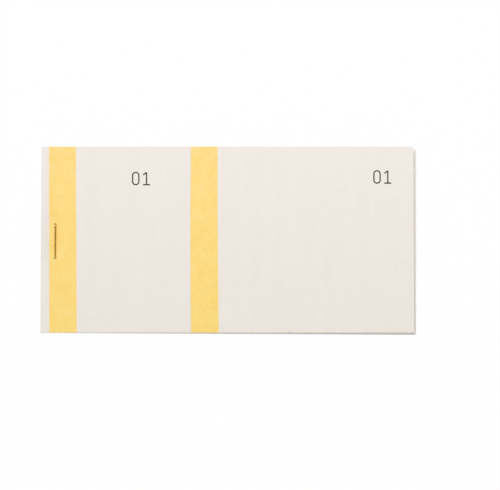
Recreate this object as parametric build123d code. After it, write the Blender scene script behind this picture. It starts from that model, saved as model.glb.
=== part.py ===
import os

from build123d import *

# A counterfoil receipt book, lying closed on its back board.
# +X runs along the page towards the slip, +Y towards the head of the page, +Z up.
# The origin is on the underside of the back board, below the middle of the leaves.

# Leaves
leaf_length = 140.0
leaf_height = 70.0
paper_thickness = 0.10
leaf_count = 25
air_gap = 0.01  # between two leaves, and under the lowest one

# Lines across a leaf, from its bound edge
binding_width = 13.0  # to the crease, where the leaf turns
counterfoil_width = 56.0  # to the perforation, where the slip tears off

# Perforation
slit_width = 0.45
slit_length = 1.0
tie_length = 1.0  # the paper left between two slits

# Back board, a little long and stapled slightly askew
board_thickness = 1.0
board_height = 70.0
board_overhang = 1.05  # past the slip end of the leaves
board_skew = 0.3  # degrees, clockwise seen from above, about the staple

# Staple, bent from flat wire
wire_width = 0.7
wire_thickness = 0.5
crown_length = 12.8
bend_radius = 0.2  # inside of each bend
clinch_length = 2.4  # of each leg's end, folded inward under the board
clinch_depth = 0.05  # how far the folded ends lie inside the board's underside
staple_inset = 5.35  # from the bound edge
staple_drop = 0.65  # below the middle of the page
staple_clearance = 0.05  # round the wire, in paper and board

# Places worked out from the sizes above
leaf_pitch = paper_thickness + air_gap
bound_edge = -leaf_length / 2
slip_end = leaf_length / 2
crease = bound_edge + binding_width
perforation = bound_edge + counterfoil_width
stack_top = board_thickness + leaf_count * leaf_pitch
staple_x = bound_edge + staple_inset
staple_y = -staple_drop
leg_y = crown_length / 2 - wire_thickness / 2  # middle of a leg, from the middle of the crown


def plate(x_start, x_end):
    """A stretch of a leaf over the full height of the page, lying at the origin's height."""
    return Pos(x_start, 0, 0) * Box(
        x_end - x_start,
        leaf_height,
        paper_thickness,
        align=(Align.MIN, Align.CENTER, Align.MIN),
    )


def laid(paper, number):
    """A stretch of paper at the height of one leaf, counted from the top of the book."""
    return Pos(0, 0, stack_top - number * leaf_pitch + air_gap) * paper


def slit_places():
    """Middle of each slit along the perforation, with the pattern centred on the page."""
    pitch = slit_length + tie_length
    count = int(leaf_height // pitch)
    return [(index - (count - 1) / 2) * pitch for index in range(count)]


def perforated(paper):
    """A stretch of paper with the perforation's slits cut through it."""
    cut_depth = 4 * paper_thickness  # well past both faces
    slit = Box(slit_width, slit_length, cut_depth)
    return paper - [Pos(perforation, place, 0) * slit for place in slit_places()]


def leg_holes():
    """Two holes for the legs, right through the book, long enough to clear the wire's bends."""
    room = staple_clearance
    outer = leg_y + wire_thickness / 2 + room
    inner = leg_y - wire_thickness / 2 - bend_radius - room
    cut_depth = 2 * stack_top  # well past both faces
    hole = Box(wire_width + 2 * room, outer - inner, cut_depth)
    middle = (outer + inner) / 2
    return [Pos(staple_x, staple_y + side * middle, stack_top / 2) * hole for side in (-1, 1)]


def back_board():
    """The stiff back, with the legs' holes and the two beds of their folded ends."""
    length = leaf_length + board_overhang
    board = Box(length, board_height, board_thickness, align=(Align.MIN, Align.CENTER, Align.MIN))
    to_staple = Pos(staple_x, staple_y, 0)
    from_staple = Pos(-staple_inset, staple_drop, 0)
    board = to_staple * Rot(0, 0, -board_skew) * from_staple * board
    room = staple_clearance
    bed_depth = clinch_depth + wire_thickness + room
    bed_length = clinch_length + wire_thickness / 2 + 2 * room
    bed = Box(wire_width + 2 * room, bed_length, bed_depth, align=(Align.CENTER, Align.MAX, Align.MIN))
    bed_end = leg_y + wire_thickness / 2 + room
    beds = [
        to_staple * Pos(0, bed_end, 0) * bed,
        to_staple * Rot(0, 0, 180) * Pos(0, bed_end, 0) * bed,
    ]
    return board - leg_holes() - beds


def staple():
    """The staple: crown on the top leaf, legs through the book, ends folded inward below."""
    half = wire_thickness / 2
    low = clinch_depth + half
    high = stack_top + half

    def outline(offset, radius):
        """One side of the bent wire, offset from its middle line."""
        tip = leg_y - clinch_length
        reach = leg_y + offset
        right = [(tip, low - offset), (reach, low - offset), (reach, high + offset)]
        left = [(-y, z) for y, z in reversed(right)]
        return FilletPolyline(*right, *left, radius=radius)

    with BuildSketch(Plane.YZ) as side:
        with BuildLine():
            outer = outline(half, bend_radius + wire_thickness)
            inner = outline(-half, bend_radius)
            Line(outer @ 0, inner @ 0)
            Line(outer @ 1, inner @ 1)
        make_face()
    wire = extrude(side.sketch, wire_width / 2, both=True)
    return Pos(staple_x, staple_y, 0) * wire


pieces = {"back_board": back_board(), "staple": staple()}

# Every leaf has a stapled margin up to its crease
margin = plate(bound_edge, crease) - leg_holes()
for number in range(1, leaf_count + 1):
    pieces[f"margin_{number:02d}"] = laid(margin, number)

# The top leaf comes apart at its perforation, the others are whole
near_side = perforation - slit_width / 2
far_side = perforation + slit_width / 2
pieces["counterfoil_01"] = laid(plate(crease, near_side), 1)
pieces["perforation_ties_01"] = laid(perforated(plate(near_side, far_side)), 1)
pieces["slip_01"] = laid(plate(far_side, slip_end), 1)
whole_leaf = perforated(plate(crease, slip_end))
for number in range(2, leaf_count + 1):
    pieces[f"leaf_{number:02d}"] = laid(whole_leaf, number)

os.makedirs("parts", exist_ok=True)
for name, shape in pieces.items():
    export_step(shape, f"parts/{name}.step")

leg_length = stack_top - clinch_depth + clinch_length - wire_thickness / 2
print(f"book {stack_top:.2f} mm thick under the crown, staple legs {leg_length:.2f} mm")
print(f"{len(slit_places())} slits in each perforation")
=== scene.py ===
import math
import random

import bmesh
import bpy
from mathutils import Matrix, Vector


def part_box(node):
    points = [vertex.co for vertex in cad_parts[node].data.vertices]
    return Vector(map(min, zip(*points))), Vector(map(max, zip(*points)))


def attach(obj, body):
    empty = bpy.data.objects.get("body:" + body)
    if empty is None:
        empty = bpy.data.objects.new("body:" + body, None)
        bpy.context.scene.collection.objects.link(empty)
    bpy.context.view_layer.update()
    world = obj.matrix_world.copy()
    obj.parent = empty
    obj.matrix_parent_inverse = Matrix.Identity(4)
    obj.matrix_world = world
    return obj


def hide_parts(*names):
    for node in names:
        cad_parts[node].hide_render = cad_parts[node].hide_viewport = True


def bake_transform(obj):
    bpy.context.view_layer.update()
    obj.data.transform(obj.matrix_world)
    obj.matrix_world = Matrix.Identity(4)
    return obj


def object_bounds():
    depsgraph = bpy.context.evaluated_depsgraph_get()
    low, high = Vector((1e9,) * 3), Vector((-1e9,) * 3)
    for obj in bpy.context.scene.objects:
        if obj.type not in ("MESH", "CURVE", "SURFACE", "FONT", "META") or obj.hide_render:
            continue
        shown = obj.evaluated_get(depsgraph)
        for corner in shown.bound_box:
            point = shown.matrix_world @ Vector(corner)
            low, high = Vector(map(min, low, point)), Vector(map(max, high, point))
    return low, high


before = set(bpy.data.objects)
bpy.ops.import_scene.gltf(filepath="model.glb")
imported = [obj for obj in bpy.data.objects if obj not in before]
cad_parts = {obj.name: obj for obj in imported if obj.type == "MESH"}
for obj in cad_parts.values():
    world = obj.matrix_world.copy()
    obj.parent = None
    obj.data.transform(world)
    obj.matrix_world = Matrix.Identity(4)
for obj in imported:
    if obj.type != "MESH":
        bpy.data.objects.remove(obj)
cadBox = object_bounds()
mm = 0.001
tiny = 0.001 * mm
bpy.context.scene.view_settings.view_transform = "Standard"

# the page as the frame has it
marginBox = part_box("margin_01")
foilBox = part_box("counterfoil_01")
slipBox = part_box("slip_01")
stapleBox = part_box("staple")
page = {
    "left": marginBox[0].x,
    "right": slipBox[1].x,
    "foot": slipBox[0].y,
    "head": slipBox[1].y,
    "top": slipBox[1].z,
    "paper": slipBox[1].z - slipBox[0].z,
    "crease": foilBox[0].x,
    "slitLeft": foilBox[1].x,
    "slitRight": slipBox[0].x,
}
page["length"] = page["right"] - page["left"]
page["height"] = page["head"] - page["foot"]
leafNodes = sorted(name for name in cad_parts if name.startswith("leaf_"))
leafCount = len(leafNodes) + 1
print("frame loaded,", len(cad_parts), "nodes,", leafCount, "leaves")


# selecting and cutting, as by hand
def deselectAll():
    if bpy.context.mode != "OBJECT":
        bpy.ops.object.mode_set(mode="OBJECT")
    bpy.ops.object.select_all(action="DESELECT")


def workOn(piece):
    deselectAll()
    piece.select_set(True)
    bpy.context.view_layer.objects.active = piece


def clearPicks(mesh):
    for elements in (mesh.vertices, mesh.edges, mesh.polygons):
        elements.foreach_set("select", [False] * len(elements))


def pickPoints(piece, wanted):
    bpy.context.tool_settings.mesh_select_mode = (True, False, False)
    clearPicks(piece.data)
    for point in piece.data.vertices:
        point.select = wanted(point.co)


def pickFaces(piece, wanted):
    bpy.context.tool_settings.mesh_select_mode = (False, False, True)
    clearPicks(piece.data)
    for face in piece.data.polygons:
        face.select = wanted(face.center)


def movePicked(step, **more):
    bpy.ops.object.mode_set(mode="EDIT")
    bpy.ops.transform.translate(value=step, **more)
    bpy.ops.object.mode_set(mode="OBJECT")


def deletePicked():
    bpy.ops.object.mode_set(mode="EDIT")
    bpy.ops.mesh.delete(type="FACE")
    bpy.ops.object.mode_set(mode="OBJECT")


def cutAcross(places, direction):
    for place in places:
        bpy.ops.mesh.select_all(action="SELECT")
        bpy.ops.mesh.bisect(
            plane_co=Vector(direction) * place, plane_no=direction, threshold=1e-7
        )


def copyOf(piece, name):
    workOn(piece)
    bpy.ops.object.duplicate(linked=False)
    copied = bpy.context.object
    copied.name = name
    return copied


def dress(piece, *finishes):
    piece.data.materials.clear()
    for finish in finishes:
        piece.data.materials.append(finish)


# shader maths: a strand is one value on its way through the nodes
class Strand:
    def __init__(self, finish, socket):
        self.finish = finish
        self.socket = socket

    def sum(self, operation, first, second):
        return self.finish.node("ShaderNodeMath", {"operation": operation}, {0: first, 1: second})

    def __add__(self, other):
        return self.sum("ADD", self, other)

    def __radd__(self, other):
        return self.sum("ADD", other, self)

    def __sub__(self, other):
        return self.sum("SUBTRACT", self, other)

    def __rsub__(self, other):
        return self.sum("SUBTRACT", other, self)

    def __mul__(self, other):
        return self.sum("MULTIPLY", self, other)

    def __truediv__(self, other):
        return self.sum("DIVIDE", self, other)

    def __pow__(self, other):
        return self.sum("POWER", self, other)

    def __rpow__(self, other):
        return self.sum("POWER", other, self)

    # noise about its middle, made this wide
    def spread(self, width):
        return (self - 0.5) * width


class Finish:
    def __init__(self, holder):
        holder.use_nodes = True
        self.holder = holder
        self.tree = holder.node_tree
        self.tree.nodes.clear()

    def node(self, kind, settings=None, values=None, give=0):
        made = self.tree.nodes.new(kind)
        for name, setting in (settings or {}).items():
            setattr(made, name, setting)
        for slot, value in (values or {}).items():
            if isinstance(value, Strand):
                self.tree.links.new(value.socket, made.inputs[slot])
            else:
                made.inputs[slot].default_value = value
        return Strand(self, made.outputs[give]) if len(made.outputs) else None

    def blendColour(self, share, first, second):
        return self.node("ShaderNodeMix", {"data_type": "RGBA"}, {0: share, 6: first, 7: second}, 2)

    def scaled(self, vector, by):
        return self.node("ShaderNodeVectorMath", {"operation": "MULTIPLY"}, {0: vector, 1: by})

    def axis(self, vector, name):
        return self.node("ShaderNodeSeparateXYZ", {}, {0: vector}, name)

    def held(self, value, low=0.0, high=1.0):
        return self.node("ShaderNodeClamp", {}, {"Value": value, "Min": low, "Max": high})

    # from 0 to 1 over a width about the place where the value is 0
    def fade(self, value, width):
        return self.held(value / width + 0.5)

    def grain(self, vector, size, detail, roughness=0.55):
        return self.node(
            "ShaderNodeTexNoise",
            {},
            {"Vector": vector, "Scale": 1 / size, "Detail": detail, "Roughness": roughness},
        )

    def streaks(self, vector, rates, detail, roughness=0.55):
        return self.grain(self.scaled(vector, rates), 1, detail, roughness)

    def raised(self, height, depth, strength):
        return self.node(
            "ShaderNodeBump", {}, {"Height": height, "Distance": depth, "Strength": strength}
        )

    def close(self, values):
        surface = self.node("ShaderNodeBsdfPrincipled", {}, values)
        self.node("ShaderNodeOutputMaterial", {}, {"Surface": surface})
        return self.holder


def newFinish(name):
    return Finish(bpy.data.materials.new(name))


# paper, with rates per mm along the page, up it and from leaf to leaf
paperLook = {
    "pale": (0.885, 0.829, 0.783, 1),
    "dull": (0.841, 0.784, 0.737, 1),
    "leafStep": 9.7,  # mm, from the grain of one leaf to that of the next
    "fibre": (1 / 0.62, 1 / 0.24, 1),
    "cloud": 3.4,  # mm
    "ripple": (1 / 3.4, 1 / 60, 1),  # the slight cockle that runs from head to foot, raised as relief and with its shade also painted into the colour
    "tone": (0.9, 0.9, 0.75),  # how much fibre, cloud and ripple change it
    "fleck": (1 / 1.3, 1 / 0.55, 1),  # the odd darker bit of fibre
    "fleckFrom": (0.70, 0.08),
    "fleckShare": 0.09,
    "fleckColour": (0.50, 0.45, 0.40, 1),
    "roughness": 0.8,
    "roughSpread": 0.08,
    "backRougher": 0.05,
    "relief": 0.02 * mm,
    "faceRelief": (0.7, 0.6, 0.35),  # fibre, ripple and strength
    "backRelief": (0.8, 0.6, 0.4),
    "faceGloss": 0.25,
    "backGloss": 0.2,
    "footShade": 0.05,  # painted shade, darker and yellower towards the foot
    "footShadeColour": (0.86, 0.80, 0.60, 1),
    "dentShade": 0.055,  # painted shade, darker in the dent beside the staple
    "dentShadePlace": (2.4, 33.8),  # mm from the bound edge and the foot
    "dentShadeReach": (3.6, 9.5),  # mm
    "dentShadeColour": (0.25, 0.2, 0.15, 1),
}


# places on a page in mm: along from the bound edge, up from the foot, and a layer for each leaf
def pagePlaces(finish):
    spread = finish.node("ShaderNodeUVMap", {"uv_map": "UVMap"})
    along = finish.axis(spread, "X") * (page["length"] / mm)
    upward = finish.axis(spread, "Y") * (page["height"] / mm)
    leafNumber = finish.node("ShaderNodeAttribute", {"attribute_name": "leafNumber"}, {}, "Fac")
    layer = leafNumber * paperLook["leafStep"]
    place = finish.node("ShaderNodeCombineXYZ", {}, {0: along, 1: upward, 2: layer})
    return along, upward, leafNumber, place


# sides of the two yellow bands, mm from the bound edge, at the head, the middle and the foot
bandLook = {
    "binding": ((2.81, 3.06, 3.31), (12.96, 13.3, 13.67)),
    "tearing": ((56.3, 56.1, 56.46), (66.34, 66.42, 66.83)),
    "wander": 0.14,  # mm
    "wanderRate": 0.8,  # per mm
    "wanderStarts": ((0, 57), (31, 88)),  # so that no two sides wander alike
    "softness": 0.09,  # mm
    "headColour": (1.0, 0.727, 0.276, 1),
    "footColour": (1.0, 0.743, 0.226, 1),
    "deepColour": (0.97, 0.62, 0.10, 1),  # where the ink lies thicker
    "mottle": (1.1, 5.2),  # mm, fine and broad
    "depth": (1.1, 1.0, 0.25),  # how much fine and broad mottle change it, and its middle
    "cover": 0.98,
    "thinFrom": (0.66, 0.12),
    "thinShare": 0.10,
    "smoother": 0.1,
    "showThrough": 0.07,  # on the back of the leaf
}


def bandSide(finish, upward, places, wanderStart):
    atHead, atMiddle, atFoot = places
    swing = upward / (page["height"] / mm / 2) - 1
    lean = (atHead - atFoot) / 2
    curve = (atHead + atFoot) / 2 - atMiddle
    stray = finish.node(
        "ShaderNodeTexNoise",
        {"noise_dimensions": "1D"},
        {"W": upward * bandLook["wanderRate"] + wanderStart, "Scale": 1, "Detail": 3},
    )
    return swing * lean + swing * swing * curve + atMiddle + stray.spread(bandLook["wander"])


def bandCover(finish, along, upward):
    softness = bandLook["softness"]
    covers = []
    for band, starts in zip(("binding", "tearing"), bandLook["wanderStarts"]):
        sides = zip(bandLook[band], starts)
        left, right = [bandSide(finish, upward, places, start) for places, start in sides]
        covers.append(finish.fade(along - left, softness) * finish.fade(right - along, softness))
    return covers[0] + covers[1]


def paperTone(finish, place):
    fibre = finish.streaks(place, paperLook["fibre"], detail=4, roughness=0.6)
    cloud = finish.grain(place, paperLook["cloud"], detail=3)
    ripple = finish.streaks(place, paperLook["ripple"], detail=2)
    byFibre, byCloud, byRipple = paperLook["tone"]
    # the ripple's share of the tone is painted shade of the cockle
    tone = fibre.spread(byFibre) + cloud.spread(byCloud) + ripple.spread(byRipple) + 0.5
    plain = finish.blendColour(finish.held(tone), paperLook["dull"], paperLook["pale"])
    bits = finish.streaks(place, paperLook["fleck"], detail=2)
    fleckFrom, fleckEdge = paperLook["fleckFrom"]
    flecks = finish.fade(bits - fleckFrom, fleckEdge) * paperLook["fleckShare"]
    plain = finish.blendColour(flecks, plain, paperLook["fleckColour"])
    return plain, fibre, ripple


def paperRelief(finish, fibre, ripple, relief):
    byFibre, byRipple, strength = relief
    return finish.raised(fibre * byFibre + ripple * byRipple, paperLook["relief"], strength)


def printedPaper():
    finish = newFinish("printed_paper")
    along, upward, leafNumber, place = pagePlaces(finish)
    plain, fibre, ripple = paperTone(finish, place)
    headShare = upward / (page["height"] / mm)
    # painted shade: the paper darker and yellower towards the foot
    footShade = (1 - headShare) * paperLook["footShade"]
    plain = finish.blendColour(footShade, plain, paperLook["footShadeColour"])

    # painted shade in the dent beside the staple, on the top leaves
    aside = (along - paperLook["dentShadePlace"][0]) / paperLook["dentShadeReach"][0]
    above = (upward - paperLook["dentShadePlace"][1]) / paperLook["dentShadeReach"][1]
    # painted shade: darkens the paper round the staple, less on each lower leaf
    dentShade = math.e ** ((aside * aside + above * above) * -1) / leafNumber
    plain = finish.blendColour(dentShade * paperLook["dentShade"], plain, paperLook["dentShadeColour"])

    # bands printed in one yellow, thinner on the fibres that stand up
    cover = bandCover(finish, along, upward)
    fine = finish.grain(place, bandLook["mottle"][0], detail=4, roughness=0.6)
    broad = finish.grain(place, bandLook["mottle"][1], detail=2)
    byFine, byBroad, middle = bandLook["depth"]
    depth = finish.held(fine.spread(byFine) + broad.spread(byBroad) + middle)
    thinFrom, thinEdge = bandLook["thinFrom"]
    thin = finish.fade(fibre - thinFrom, thinEdge)
    yellow = finish.blendColour(headShare, bandLook["footColour"], bandLook["headColour"])
    yellow = finish.blendColour(depth, yellow, bandLook["deepColour"])
    inked = cover * (bandLook["cover"] - thin * bandLook["thinShare"])
    rough = paperLook["roughness"] - cover * bandLook["smoother"]
    return finish.close(
        {
            "Base Color": finish.blendColour(inked, plain, yellow),
            "Roughness": rough + fibre.spread(paperLook["roughSpread"]),
            "Normal": paperRelief(finish, fibre, ripple, paperLook["faceRelief"]),
            "Specular IOR Level": paperLook["faceGloss"],
        }
    )


def plainPaper():
    finish = newFinish("plain_paper")
    along, upward, _, place = pagePlaces(finish)
    plain, fibre, ripple = paperTone(finish, place)
    printThrough = bandCover(finish, along, upward) * bandLook["showThrough"]
    rough = paperLook["roughness"] + paperLook["backRougher"]
    return finish.close(
        {
            "Base Color": finish.blendColour(printThrough, plain, bandLook["headColour"]),
            "Roughness": rough + fibre.spread(paperLook["roughSpread"]),
            "Normal": paperRelief(finish, fibre, ripple, paperLook["backRelief"]),
            "Specular IOR Level": paperLook["backGloss"],
        }
    )


cutLook = {
    "dark": (0.82, 0.765, 0.71, 1),
    "pale": (0.90, 0.85, 0.80, 1),
    "rag": (1.6, 1.6, 1),  # per mm
    "leafTone": (0.05, 0.05, 0.31),  # per mm
    "tone": (1.1, 1.6),  # how much rag and leaf tone change it
    "relief": 0.02 * mm,
    "reliefStrength": 0.5,
    "roughness": 0.9,
    "roughSpread": 0.1,
    "gloss": 0.15,
}


def cutPaper():
    finish = newFinish("cut_paper")
    *_, place = pagePlaces(finish)
    rag = finish.streaks(place, cutLook["rag"], detail=4, roughness=0.65)
    leafTone = finish.streaks(place, cutLook["leafTone"], detail=1)
    byRag, byLeaf = cutLook["tone"]
    share = finish.held(rag.spread(byRag) + leafTone.spread(byLeaf) + 0.5)
    return finish.close(
        {
            "Base Color": finish.blendColour(share, cutLook["dark"], cutLook["pale"]),
            "Roughness": cutLook["roughness"] + rag.spread(cutLook["roughSpread"]),
            "Normal": finish.raised(rag, cutLook["relief"], cutLook["reliefStrength"]),
            "Specular IOR Level": cutLook["gloss"],
        }
    )


inkLook = {
    "dark": (0.024, 0.016, 0.010, 1),
    "pale": (0.058, 0.039, 0.025, 1),
    "patch": 0.35,  # mm
    "roughness": 0.62,
    "roughSpread": 0.2,
    "gloss": 0.3,
}


def numberInk():
    finish = newFinish("number_ink")
    *_, place = pagePlaces(finish)
    patch = finish.grain(place, inkLook["patch"], detail=3, roughness=0.6)
    return finish.close(
        {
            "Base Color": finish.blendColour(patch, inkLook["dark"], inkLook["pale"]),
            "Roughness": inkLook["roughness"] + patch.spread(inkLook["roughSpread"]),
            "Specular IOR Level": inkLook["gloss"],
        }
    )


paperFinishes = (printedPaper(), plainPaper(), cutPaper())
inkFinish = numberInk()
print("paper and ink mixed")


# the leaves, cut from one sheet
leafShape = {
    "slitLength": 1.0 * mm,
    "tieLength": 1.0 * mm,
    "slitGap": 0.045 * mm,  # the blade leaves the paper almost closed
    "tearInset": 0.03 * mm,  # from the slip's side of the frame's slits
    "bend": 14 * mm,  # paper past the crease that curves as the leaf turns
    "bendCuts": 14,
    "marginCuts": 12,
    "marginClear": 0.2 * mm,  # no cut closer to a leg's hole
    "holeRoom": 0.05 * mm,  # beside a leg of the staple
    "holeEnds": (0.27 * mm, 0.2 * mm),  # past the crown at foot and head, where the legs tore in
    "holeStart": 0.75 * mm,  # before the crown's end
    "trim": 0.025 * mm,  # how unevenly the edges were cut
    "raggedTear": 0.015 * mm,
    "tieRoom": 0.004 * mm,  # round each tie of the top leaf
    "dent": 0.2 * mm,  # how far the staple presses the top leaf in
    "dentReach": 7 * mm,
    "dentBeside": 0.06 * mm,  # pressed flat this far past the wire's sides
    "dentPast": 0.01 * mm,  # and past the ends of its holes
    "smoothBelow": 40,  # degrees
    "seed": 12,
}
page["tear"] = page["slitRight"] - leafShape["tearInset"]
stapleMiddle = (stapleBox[0] + stapleBox[1]) / 2
crownHalf = (stapleBox[1].y - stapleBox[0].y) / 2
wireHalf = (stapleBox[1].x - stapleBox[0].x) / 2
slitPitch = leafShape["slitLength"] + leafShape["tieLength"]


def slitMiddles():
    slack = 0.001  # so that a whole number of slits isn't rounded down
    count = int(page["height"] / slitPitch + slack)
    middle = (page["head"] + page["foot"]) / 2
    return [middle + (index - (count - 1) / 2) * slitPitch for index in range(count)]


slitPlaces = slitMiddles()


def isAlongSlit(place):
    return any(abs(place.y - slit) < leafShape["slitLength"] / 2 for slit in slitPlaces)


def holeEnds():
    pastFoot, pastHead = leafShape["holeEnds"]
    start = crownHalf - leafShape["holeStart"]
    ends = (-crownHalf - pastFoot, -start, start, crownHalf + pastHead)
    return [stapleMiddle.y + end for end in ends]


def makeSheet():
    deselectAll()
    bpy.ops.mesh.primitive_plane_add(size=1, location=(0, 0, 0))
    sheet = bpy.context.object
    sheet.name = "uncut_sheet"
    bpy.ops.object.mode_set(mode="EDIT")
    size = (page["length"], page["height"], 1)
    bpy.ops.transform.resize(value=size, center_override=(0, 0, 0))
    middle = ((page["left"] + page["right"]) / 2, (page["head"] + page["foot"]) / 2, 0)
    bpy.ops.transform.translate(value=middle)

    holeSide = wireHalf + leafShape["holeRoom"]
    openHalf = leafShape["slitGap"] / 2
    columns = [page["slitLeft"], page["tear"] - openHalf, page["tear"], page["tear"] + openHalf]
    columns += [stapleMiddle.x - holeSide, stapleMiddle.x + holeSide]
    marginWidth = page["crease"] - page["left"]
    for index in range(1, leafShape["marginCuts"] + 1):
        place = page["left"] + marginWidth * index / leafShape["marginCuts"]
        if abs(place - stapleMiddle.x) > holeSide + leafShape["marginClear"]:
            columns.append(place)
    for index in range(1, leafShape["bendCuts"] + 1):
        columns.append(page["crease"] + leafShape["bend"] * index / leafShape["bendCuts"])
    cutAcross(columns, (1, 0, 0))

    half = leafShape["slitLength"] / 2
    rows = [slit + side for slit in slitPlaces for side in (-half, half)]
    holes = holeEnds()
    cutAcross(rows + holes, (0, 1, 0))
    bpy.ops.object.mode_set(mode="OBJECT")

    def isCutOut(place):
        if abs(place.x - page["tear"]) < openHalf:
            return isAlongSlit(place)
        if abs(place.x - stapleMiddle.x) < holeSide:
            return holes[0] < place.y < holes[1] or holes[2] < place.y < holes[3]
        return False

    pickFaces(sheet, isCutOut)
    deletePicked()
    return sheet


def pressUnderCrown(sheet, depth):
    reachX = wireHalf + leafShape["dentBeside"]
    reachY = crownHalf + max(leafShape["holeEnds"]) + leafShape["dentPast"]

    def isUnderCrown(place):
        return abs(place.x - stapleMiddle.x) < reachX and abs(place.y - stapleMiddle.y) < reachY

    pickPoints(sheet, isUnderCrown)
    movePicked(
        (0, 0, -depth),
        use_proportional_edit=True,
        proportional_edit_falloff="SMOOTH",
        proportional_size=leafShape["dentReach"],
    )


def trimUnevenly(sheet, chance):
    spread = leafShape["trim"]
    sides = (
        (lambda place: place.x < page["left"] + tiny, (1, 0, 0)),
        (lambda place: place.x > page["right"] - tiny, (1, 0, 0)),
        (lambda place: place.y < page["foot"] + tiny, (0, 1, 0)),
        (lambda place: place.y > page["head"] - tiny, (0, 1, 0)),
    )
    for isAtSide, direction in sides:
        pickPoints(sheet, isAtSide)
        movePicked(Vector(direction) * chance.uniform(-spread, spread))


def lift(sheet, height):
    pickPoints(sheet, lambda place: True)
    movePicked((0, 0, height))


def thicken(sheet):
    workOn(sheet)
    wall = sheet.modifiers.new("paper", "SOLIDIFY")
    wall.thickness = page["paper"]
    wall.offset = -1
    wall.material_offset = 1
    wall.material_offset_rim = 2
    bpy.ops.object.modifier_apply(modifier=wall.name)
    bpy.ops.object.shade_smooth_by_angle(angle=math.radians(leafShape["smoothBelow"]))


# numbers, drawn with one pen width
numberShape = {
    "width": 2.34 * mm,
    "height": 4.66 * mm,
    "pitch": 4.06 * mm,
    "pen": 0.49 * mm,
    "film": 0.0055 * mm,
    "stand": 0.55,  # middle of the film above the paper, in films, so that it stands clear
    "arcSteps": 10,
    "meet": 0.001,  # ends this close make a closed stroke
    "onCounterfoil": (37.54, 12.05),  # mm from the bound edge and from the head, middle of the pair
    "onSlip": (128.32, 11.46),
}


def bow(middle, radii, first, last):
    steps = numberShape["arcSteps"]
    points = []
    for index in range(steps + 1):
        turn = math.radians(first + (last - first) * index / steps)
        across = middle[0] + radii[0] * math.cos(turn)
        points.append((across, middle[1] + radii[1] * math.sin(turn)))
    return points


# strokes in a box one wide and one high, the middle of the foot at 0, 0
roundEnd = (0.5, 0.23)
sixTail = bow((0.5, 0.3), (1.0, 0.7), 180, 112)
digitStrokes = {
    "0": [bow((0, 0.77), roundEnd, 0, 180) + bow((0, 0.23), roundEnd, 180, 360) + [(0.5, 0.77)]],
    "1": [[(0, 1), (0, 0)], [(-0.55, 0.795), (0, 1)], [(-0.56, 0), (0.56, 0)]],
    "2": [bow((0, 0.73), (0.5, 0.27), 165, -35) + [(-0.5, 0), (0.52, 0)]],
    "3": [bow((0, 0.755), (0.46, 0.245), 150, -90) + bow((0, 0.255), (0.5, 0.255), 90, -150)],
    "4": [[(0.24, 0), (0.24, 1), (-0.52, 0.28), (0.54, 0.28)]],
    "5": [[(0.44, 1), (-0.38, 1), (-0.43, 0.55)] + bow((0, 0.31), (0.5, 0.31), 130, -150)],
    "6": [bow((0, 0.3), (0.5, 0.3), 0, 180) + bow((0, 0.3), (0.5, 0.3), 180, 360), sixTail],
    "7": [[(-0.5, 1), (0.5, 1), (-0.12, 0)]],
    "8": [
        bow((0, 0.755), (0.42, 0.245), 90, 270) + bow((0, 0.755), (0.42, 0.245), -90, 90),
        bow((0, 0.25), (0.5, 0.25), 90, 270) + bow((0, 0.25), (0.5, 0.25), -90, 90),
    ],
}
digitStrokes["9"] = [[(-x, 1 - y) for x, y in stroke] for stroke in digitStrokes["6"]]


def makeDigit(name):
    deselectAll()
    curve = bpy.data.curves.new("digit_" + name, "CURVE")
    curve.dimensions = "3D"
    curve.bevel_depth = numberShape["pen"] / 2
    curve.bevel_resolution = 1
    curve.use_fill_caps = True
    for stroke in digitStrokes[name]:
        closed = math.dist(stroke[0], stroke[-1]) < numberShape["meet"]
        points = stroke[:-1] if closed else stroke
        spline = curve.splines.new("POLY")
        spline.points.add(len(points) - 1)
        for point, (x, y) in zip(spline.points, points):
            point.co = (x * numberShape["width"], (y - 0.5) * numberShape["height"], 0, 1)
        spline.use_cyclic_u = closed
    digit = bpy.data.objects.new("digit_" + name, curve)
    bpy.context.collection.objects.link(digit)
    workOn(digit)
    bpy.ops.object.convert(target="MESH")
    digit = bpy.context.object
    bpy.ops.object.mode_set(mode="EDIT")
    bpy.ops.mesh.select_all(action="SELECT")
    bpy.ops.mesh.remove_doubles(threshold=tiny)
    flat = numberShape["film"] / numberShape["pen"]
    bpy.ops.transform.resize(value=(1, 1, flat), center_override=(0, 0, 0))
    bpy.ops.mesh.normals_make_consistent(inside=False)
    bpy.ops.object.mode_set(mode="OBJECT")
    dress(digit, inkFinish)
    return digit


digitMasters = {name: makeDigit(name) for name in digitStrokes}
print("digits drawn")


def printNumber(sheet, number, place, top):
    height = top + numberShape["film"] * numberShape["stand"]
    marks = []
    for index, name in enumerate(f"{number:02d}"):
        mark = copyOf(digitMasters[name], "mark")
        across = page["left"] + place[0] * mm + (index - 0.5) * numberShape["pitch"]
        mark.location = (across, page["head"] - place[1] * mm, height)
        marks.append(mark)
    workOn(sheet)
    for mark in marks:
        mark.select_set(True)
    bpy.ops.object.join()


def finishLeaf(sheet, number):
    mesh = sheet.data
    layer = mesh.uv_layers.get("UVMap") or mesh.uv_layers.new(name="UVMap")
    for loop in mesh.loops:
        place = mesh.vertices[loop.vertex_index].co
        across = (place.x - page["left"]) / page["length"]
        upward = (place.y - page["foot"]) / page["height"]
        layer.data[loop.index].uv = (across, upward)
    numbers = mesh.attributes.new("leafNumber", "FLOAT", "POINT")
    numbers.data.foreach_set("value", [float(number)] * len(mesh.vertices))


def turnWithLeaf(sheet, body, *nodes):
    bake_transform(sheet)
    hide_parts(*nodes)


def pressOf(number):
    return leafShape["dent"] * (leafCount + 1 - number) / leafCount


uncutSheet = makeSheet()
chance = random.Random(leafShape["seed"])

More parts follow.
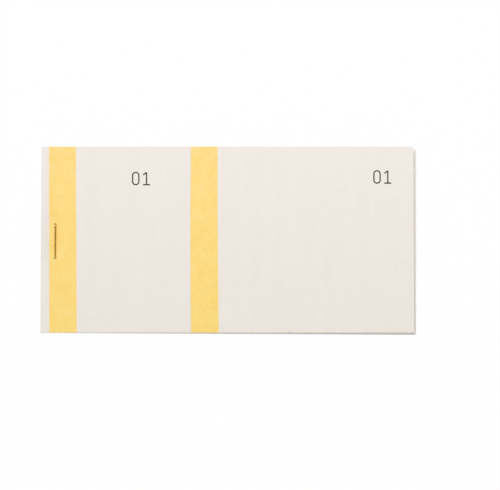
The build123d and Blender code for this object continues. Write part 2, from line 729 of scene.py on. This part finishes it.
# leaves below the top one, each whole
for node in leafNodes:
    number = int(node[-2:])
    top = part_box(node)[1].z
    leaf = copyOf(uncutSheet, "receipt_" + node)
    trimUnevenly(leaf, chance)
    pressUnderCrown(leaf, pressOf(number))
    lift(leaf, top)
    dress(leaf, *paperFinishes)
    thicken(leaf)
    printNumber(leaf, number, numberShape["onCounterfoil"], top)
    printNumber(leaf, number, numberShape["onSlip"], top)
    finishLeaf(leaf, number)
    turnWithLeaf(leaf, node, node.replace("leaf", "margin"), node)
print("lower leaves cut")

# the top leaf, which comes apart along its perforation
topSheet = copyOf(uncutSheet, "top_sheet")
pressUnderCrown(topSheet, pressOf(1))
lift(topSheet, page["top"])
for point in topSheet.data.vertices:
    if abs(point.co.x - page["tear"]) < tiny:
        point.co.x += chance.uniform(-1, 1) * leafShape["raggedTear"]


def ownerOf(place):
    if place.x > page["tear"]:
        return "top_slip"
    if place.x > page["slitLeft"] and not isAlongSlit(place):
        return "top_perforation_ties"
    return "top_counterfoil"


def easeTies(ties):
    room = leafShape["tieRoom"]
    middles = [slit + side * slitPitch / 2 for slit in slitPlaces for side in (-1, 1)]
    for point in ties.data.vertices:
        middle = min(middles, key=lambda place: abs(place - point.co.y))
        point.co.y += math.copysign(room, middle - point.co.y)
        if point.co.x < page["slitLeft"] + room:
            point.co.x += room
        if point.co.x > page["tear"] - leafShape["slitGap"] / 2 + room:
            point.co.x -= room


topPieces = {}
for name in ("top_counterfoil", "top_perforation_ties", "top_slip"):
    piece = copyOf(topSheet, name)
    pickFaces(piece, lambda place: ownerOf(place) != name)
    deletePicked()
    if name == "top_perforation_ties":
        easeTies(piece)
    dress(piece, *paperFinishes)
    thicken(piece)
    topPieces[name] = piece
printNumber(topPieces["top_counterfoil"], 1, numberShape["onCounterfoil"], page["top"])
printNumber(topPieces["top_slip"], 1, numberShape["onSlip"], page["top"])
for piece in topPieces.values():
    finishLeaf(piece, 1)
turnWithLeaf(topPieces["top_counterfoil"], "leaf_01", "margin_01", "counterfoil_01")
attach(topPieces["top_perforation_ties"], "perforation_01")
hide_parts("perforation_ties_01")
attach(topPieces["top_slip"], "slip_01")
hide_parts("slip_01")
for spare in (uncutSheet, topSheet, *digitMasters.values()):
    bpy.data.objects.remove(spare)
print("top leaf cut")


# places inside a rigid piece, in mm
def solidPlaces(finish):
    place = finish.node("ShaderNodeTexCoord", {}, {}, "Object")
    return finish.scaled(place, (1 / mm, 1 / mm, 1 / mm))


# the back board, from the frame's solid with its cut edges eased
boardSettings = {
    "ease": 0.1 * mm,
    "easeSteps": 2,
    "flatWithin": 1,  # degrees
    "sharpFrom": 1,  # radians
    "longEdge": 20 * mm,
    "cornerHeight": 0.9 * mm,
    "clearOfStaple": 20 * mm,
    "level": 0.7,  # how far a normal points up or down on the face and the back
    "smoothBelow": 30,  # degrees
    "finishes": {  # dark, pale, share of specks and roughness
        "board_face": ((0.875, 0.826, 0.777, 1), (0.910, 0.863, 0.816, 1), 0.06, 0.72),
        "board_back": ((0.330, 0.300, 0.262, 1), (0.520, 0.480, 0.428, 1), 0.55, 0.88),
        "board_edge": ((0.430, 0.397, 0.352, 1), (0.630, 0.590, 0.535, 1), 0.35, 0.92),
    },
    "fibre": (1.1, 2.6, 6),  # per mm
    "cloud": 4.5,  # mm
    "tone": (1.2, 0.9),  # how much fibre and cloud change it
    "speck": (0.8, 2.2, 4),
    "speckSize": 0.55,
    "speckFrom": (0.69, 0.05),
    "speckColour": (0.16, 0.13, 0.10, 1),
    "relief": 0.05 * mm,
    "reliefStrength": 0.4,
    "roughSpread": 0.12,
    "gloss": 0.2,
}


def boardFinish(name, dark, pale, speckShare, roughness):
    finish = newFinish(name)
    place = solidPlaces(finish)
    fibre = finish.streaks(place, boardSettings["fibre"], detail=5, roughness=0.62)
    cloud = finish.grain(place, boardSettings["cloud"], detail=3)
    byFibre, byCloud = boardSettings["tone"]
    share = finish.held(fibre.spread(byFibre) + cloud.spread(byCloud) + 0.5)
    pulp = finish.blendColour(share, dark, pale)
    grains = finish.scaled(place, boardSettings["speck"])
    bits = finish.grain(grains, boardSettings["speckSize"], detail=2)
    speckFrom, speckEdge = boardSettings["speckFrom"]
    specks = finish.fade(bits - speckFrom, speckEdge) * speckShare
    relief = finish.raised(fibre, boardSettings["relief"], boardSettings["reliefStrength"])
    return finish.close(
        {
            "Base Color": finish.blendColour(specks, pulp, boardSettings["speckColour"]),
            "Roughness": roughness + fibre.spread(boardSettings["roughSpread"]),
            "Normal": relief,
            "Specular IOR Level": boardSettings["gloss"],
        }
    )


def isCutEdge(edge):
    ends = [point.co for point in edge.verts]
    run = ends[1] - ends[0]
    sharp = len(edge.link_faces) == 2 and edge.calc_face_angle() > boardSettings["sharpFrom"]
    away = (ends[0] - stapleMiddle).length > boardSettings["clearOfStaple"]
    corner = abs(run.z) > boardSettings["cornerHeight"] and away
    return sharp and (run.length > boardSettings["longEdge"] or corner)


def makeBoard():
    deselectAll()
    board = bpy.data.objects.new("pulp_board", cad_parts["back_board"].data.copy())
    bpy.context.collection.objects.link(board)
    workOn(board)
    bpy.ops.object.mode_set(mode="EDIT")
    bpy.ops.mesh.select_all(action="SELECT")
    bpy.ops.mesh.remove_doubles(threshold=tiny)
    bpy.ops.mesh.dissolve_limited(angle_limit=math.radians(boardSettings["flatWithin"]))
    bpy.ops.mesh.select_all(action="DESELECT")
    bpy.context.tool_settings.mesh_select_mode = (False, True, False)
    shape = bmesh.from_edit_mesh(board.data)
    for edge in shape.edges:
        edge.select_set(isCutEdge(edge))
    bmesh.update_edit_mesh(board.data)
    bpy.ops.mesh.bevel(
        offset=boardSettings["ease"], segments=boardSettings["easeSteps"], affect="EDGES"
    )
    bpy.ops.object.mode_set(mode="OBJECT")
    dress(board, *(boardFinish(name, *look) for name, look in boardSettings["finishes"].items()))
    level = boardSettings["level"]
    for face in board.data.polygons:
        face.material_index = 0 if face.normal.z > level else 1 if face.normal.z < -level else 2
    bpy.ops.object.shade_smooth_by_angle(angle=math.radians(boardSettings["smoothBelow"]))
    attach(board, "book_back")
    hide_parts("back_board")


makeBoard()
print("board cut")


# the staple, one wire led round its bends
wireSettings = {
    "clinch": 2.4 * mm,
    "insideBend": 0.2 * mm,
    "bendCuts": 8,
    "nearBend": 0.06 * mm,  # a cut close to each bend keeps the straight runs flat
    "sides": 24,
    "chisel": 0.4 * mm,
    "tip": (0.8, 1, 0.4),
    "smoothBelow": 50,  # degrees
    "dark": (0.80, 0.50, 0.095, 1),
    "pale": (0.97, 0.635, 0.15, 1),
    "drawn": (14, 0.7, 5),  # per mm, fine lines along the crown
    "spot": 0.5,  # mm
    "tone": (1.3, 0.8),  # how much lines and spots change it
    "roughness": 0.3,
    "roughSpread": (0.2, 0.1),
    "relief": 0.008 * mm,
    "reliefStrength": 0.3,
}


def wireFinish():
    finish = newFinish("staple_wire")
    place = solidPlaces(finish)
    drawn = finish.streaks(place, wireSettings["drawn"], detail=4, roughness=0.6)
    spots = finish.grain(place, wireSettings["spot"], detail=3)
    byLines, bySpots = wireSettings["tone"]
    share = finish.held(drawn.spread(byLines) + spots.spread(bySpots) + 0.5)
    roughLines, roughSpots = wireSettings["roughSpread"]
    rough = wireSettings["roughness"] + drawn.spread(roughLines) + spots.spread(roughSpots)
    return finish.close(
        {
            "Base Color": finish.blendColour(share, wireSettings["dark"], wireSettings["pale"]),
            "Metallic": 1.0,
            "Roughness": rough,
            "Normal": finish.raised(drawn, wireSettings["relief"], wireSettings["reliefStrength"]),
        }
    )


def makeStaple():
    thick = stapleBox[1].z - page["top"]
    low = stapleBox[0].z + thick / 2
    high = stapleBox[1].z - thick / 2 - leafShape["dent"]  # the crown sits in the dent
    legs = crownHalf - thick / 2
    turn = wireSettings["insideBend"] + thick / 2
    folded = wireSettings["clinch"] - turn - wireSettings["chisel"]
    middle = stapleMiddle.y
    narrow = wireSettings["tip"]
    wide = tuple(1 / share for share in narrow)

    def lead(along, upward):
        bpy.ops.mesh.extrude_region_move(TRANSFORM_OT_translate={"value": (0, along, upward)})

    def leadStraight(run, along, upward):
        near = wireSettings["nearBend"]
        for length in (near, run - 2 * near, near):
            lead(along * length, upward * length)

    def bendRound(along, upward):
        bpy.ops.mesh.spin(
            steps=wireSettings["bendCuts"],
            angle=math.radians(90),
            center=(stapleMiddle.x, along, upward),
            axis=(-1, 0, 0),
        )

    deselectAll()
    bpy.ops.mesh.primitive_circle_add(
        vertices=wireSettings["sides"],
        radius=0.5,
        fill_type="NGON",
        rotation=(math.radians(90), 0, 0),
    )
    bpy.ops.object.transform_apply(location=True, rotation=True, scale=True)
    staple = bpy.context.object
    staple.name = "wire_staple"
    bpy.ops.object.mode_set(mode="EDIT")
    bpy.ops.transform.resize(value=(wireHalf * 2, 1, thick), center_override=(0, 0, 0))
    start = Vector((stapleMiddle.x, middle + legs - wireSettings["clinch"], low))
    bpy.ops.transform.translate(value=start)
    bpy.ops.transform.resize(value=narrow, center_override=start)
    lead(wireSettings["chisel"], 0)
    bpy.ops.transform.resize(value=wide, center_override=start)
    leadStraight(folded, 1, 0)
    bendRound(middle + legs - turn, low + turn)
    leadStraight(high - low - 2 * turn, 0, 1)
    bendRound(middle + legs - turn, high - turn)
    leadStraight(2 * (legs - turn), -1, 0)
    bendRound(middle - legs + turn, high - turn)
    leadStraight(high - low - 2 * turn, 0, -1)
    bendRound(middle - legs + turn, low + turn)
    leadStraight(folded, 1, 0)
    lead(wireSettings["chisel"], 0)
    end = Vector((stapleMiddle.x, middle - legs + wireSettings["clinch"], low))
    bpy.ops.transform.resize(value=narrow, center_override=end)
    bpy.ops.mesh.select_all(action="SELECT")
    bpy.ops.mesh.remove_doubles(threshold=tiny / 2)
    bpy.ops.mesh.normals_make_consistent(inside=False)
    bpy.ops.object.mode_set(mode="OBJECT")
    bpy.ops.object.shade_smooth_by_angle(angle=math.radians(wireSettings["smoothBelow"]))
    dress(staple, wireFinish())
    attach(staple, "book_back")
    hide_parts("staple")


makeStaple()
print("staple bent")


# floor, light and camera
stageLook = {
    "floor": (0.93, 0.93, 0.93, 1),
    "floorSize": 60,
    "floorDrop": 0.02 * mm,
    "whiteShare": 0.975,  # how far the camera sees the floor as plain white
    "backdrop": (0.2, 0.1),  # height of the white behind the floor's end, and its soft edge
    "sky": 0.105,
    "skyEnds": 1.05,  # brighter past head and foot
    "skyFoot": 0.3,  # and more so past the foot
    "skyLean": 0.62,  # brighter straight past the bound edge, darker straight past the slip
    "skyLeanFrom": 0.5,  # height from which it leans in full
    "skyLimits": (0.03, 2.0),
    "lamp": (0.012, 0.45, 0.55),
    "lampSize": 0.4,
    "lampPower": 2.72,
}


def seenShare(finish):
    kinds = ("Is Camera Ray", "Is Glossy Ray", "Is Transmission Ray")
    rays = [finish.node("ShaderNodeLightPath", {}, {}, kind) for kind in kinds]
    return finish.held(rays[0] + rays[1] + rays[2])


def makeFloor():
    deselectAll()
    under = (0, 0, cadBox[0].z - stageLook["floorDrop"])
    bpy.ops.mesh.primitive_plane_add(size=stageLook["floorSize"], location=under)
    floor = bpy.context.object
    floor.name = "floor"
    finish = newFinish("pale_floor")
    grey = finish.node("ShaderNodeBsdfDiffuse", {}, {"Color": stageLook["floor"]})
    white = finish.node("ShaderNodeEmission", {}, {"Color": (1, 1, 1, 1), "Strength": 1.0})
    share = seenShare(finish) * stageLook["whiteShare"]
    surface = finish.node("ShaderNodeMixShader", {}, {0: share, 1: grey, 2: white})
    finish.node("ShaderNodeOutputMaterial", {}, {"Surface": surface})
    dress(floor, finish.holder)


def makeSky():
    world = bpy.data.worlds.new("soft_room")
    bpy.context.scene.world = world
    sky = Finish(world)
    direction = sky.node("ShaderNodeTexCoord", {}, {}, "Generated")
    slipward, headward, height = [sky.axis(direction, name) for name in "XYZ"]
    endShare = headward * headward
    footShare = sky.held(0 - headward) ** 2
    level = endShare ** 0.5 * stageLook["skyEnds"] + footShare * stageLook["skyFoot"]
    leanShare = sky.held(height / stageLook["skyLeanFrom"]) * stageLook["skyLean"]
    level = level + stageLook["sky"] - slipward * (1 - endShare) ** 3 * leanShare
    level = sky.held(level, *stageLook["skyLimits"])
    whiteBelow, softness = stageLook["backdrop"]
    backdrop = seenShare(sky) * sky.fade(whiteBelow - height, softness)
    level = level * (1 - backdrop) + backdrop
    light = sky.node("ShaderNodeBackground", {}, {"Color": level, "Strength": 1.0})
    sky.node("ShaderNodeOutputWorld", {}, {"Surface": light})


def makeLamp():
    lamp = bpy.data.lights.new("soft_lamp", "AREA")
    lamp.shape = "DISK"
    lamp.size = stageLook["lampSize"]
    lamp.energy = stageLook["lampPower"]
    holder = bpy.data.objects.new("soft_lamp", lamp)
    bpy.context.collection.objects.link(holder)
    holder.location = stageLook["lamp"]
    towards = Vector((0, 0, page["top"])) - holder.location
    holder.rotation_euler = towards.to_track_quat("-Z", "Y").to_euler()


cameraPlace = {
    "aim": (8.5 * mm, -2.137 * mm, 3.75 * mm),
    "away": 1000 * mm,
    "tilt": 4.5,  # degrees from straight down, towards the foot of the page
    "lens": 191.75,
    "sensor": 36,
}


def makeCamera():
    eye = bpy.data.cameras.new("photo_camera")
    eye.lens = cameraPlace["lens"]
    eye.sensor_width = cameraPlace["sensor"]
    holder = bpy.data.objects.new("photo_camera", eye)
    bpy.context.collection.objects.link(holder)
    tilt = math.radians(cameraPlace["tilt"])
    back = Vector((0, -math.sin(tilt), math.cos(tilt)))
    holder.location = Vector(cameraPlace["aim"]) + back * cameraPlace["away"]
    holder.rotation_euler = (tilt, 0, 0)
    bpy.context.scene.camera = holder


makeFloor()
makeSky()
makeLamp()
makeCamera()
print("floor, light and camera set")
